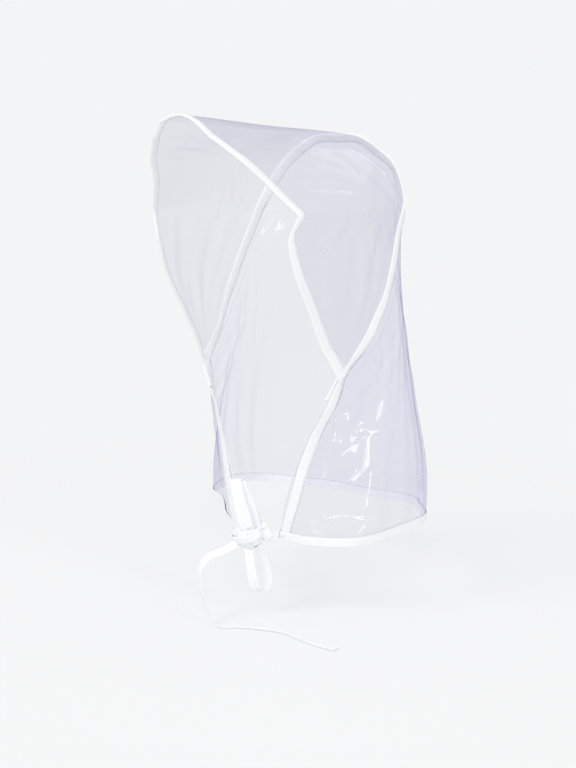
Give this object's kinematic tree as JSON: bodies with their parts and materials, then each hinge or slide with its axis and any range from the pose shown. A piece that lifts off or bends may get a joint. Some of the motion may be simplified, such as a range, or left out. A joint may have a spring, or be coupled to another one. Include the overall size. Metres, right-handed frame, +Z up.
{
  "type": "rain bonnet",
  "caption": "Clear plastic rain bonnet with a wide open peak, a cape over neck and shoulders, white tape on every edge and tape ties knotted in a bow under the chin.",
  "frame": {"origin": "inside the top of the crown, where the film rests on the top of the wearer's head", "axes": "+Z up, the wearer faces -Y, +X is the wearer's left"},
  "size_m": [0.211, 0.2992, 0.4263],
  "materials": {
    "film": "clear, glossy and slightly milky",
    "tape": "smooth white woven tape"
  },
  "bodies": {
    "root": {"hood_panel": "film", "cape": "film", "brim_binding": "tape", "cape_binding": "tape", "hem_binding": "tape", "bow_knot": "tape", "near_tie": "tape", "far_tie": "tape", "upper_loop": "tape", "lower_loop": "tape", "long_tail": "tape"}
  },
  "joints": []
}
